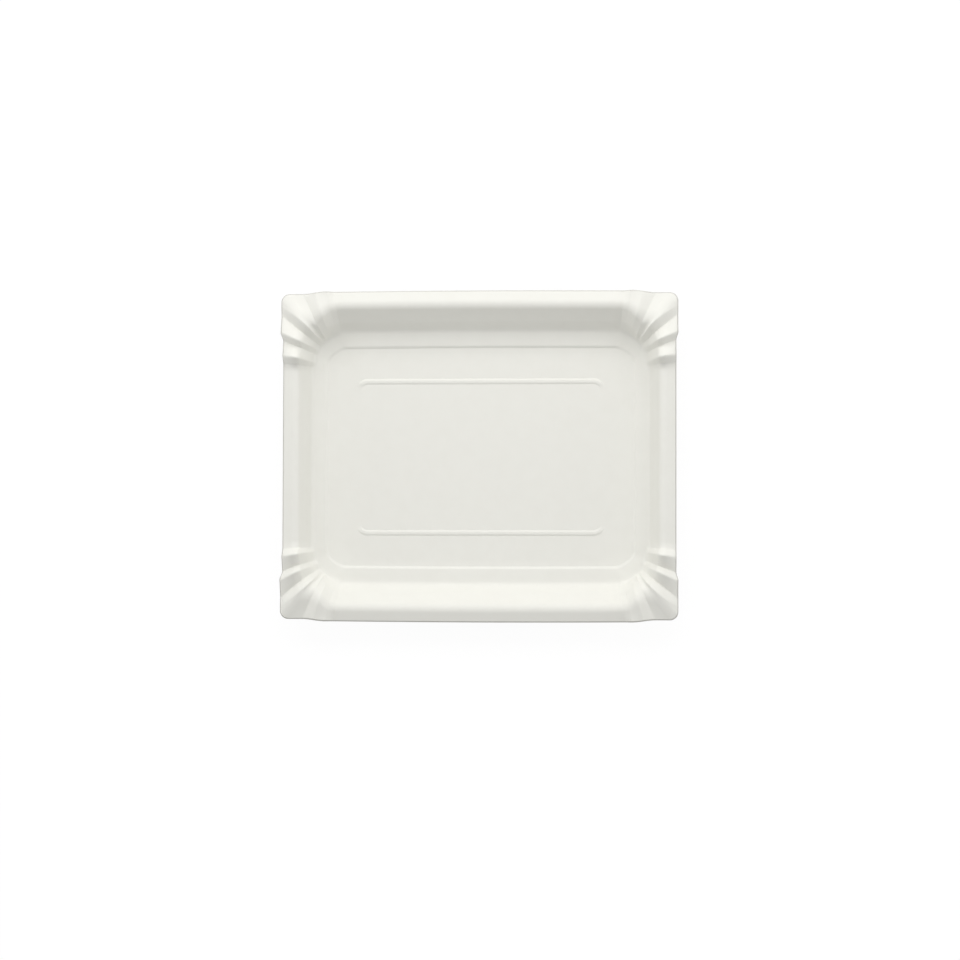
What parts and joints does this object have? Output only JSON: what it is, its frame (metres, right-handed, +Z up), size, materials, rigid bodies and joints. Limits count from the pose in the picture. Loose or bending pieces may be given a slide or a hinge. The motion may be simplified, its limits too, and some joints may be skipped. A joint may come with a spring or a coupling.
{
  "type": "paperboard tray",
  "caption": "Shallow rectangular serving tray pressed from one sheet of white board, with sloping walls, a turned-over lip, fluted corners and long beads in its flat base.",
  "frame": {"origin": "under the middle of the base, in the plane the tray stands on", "axes": "+X along the long sides, +Y along the short sides, +Z up out of the open well"},
  "size_m": [0.1826, 0.1522, 0.0182],
  "materials": {
    "paperboard": "matt, warm white pressed board"
  },
  "bodies": {
    "root": {"tray": "paperboard"}
  },
  "joints": []
}
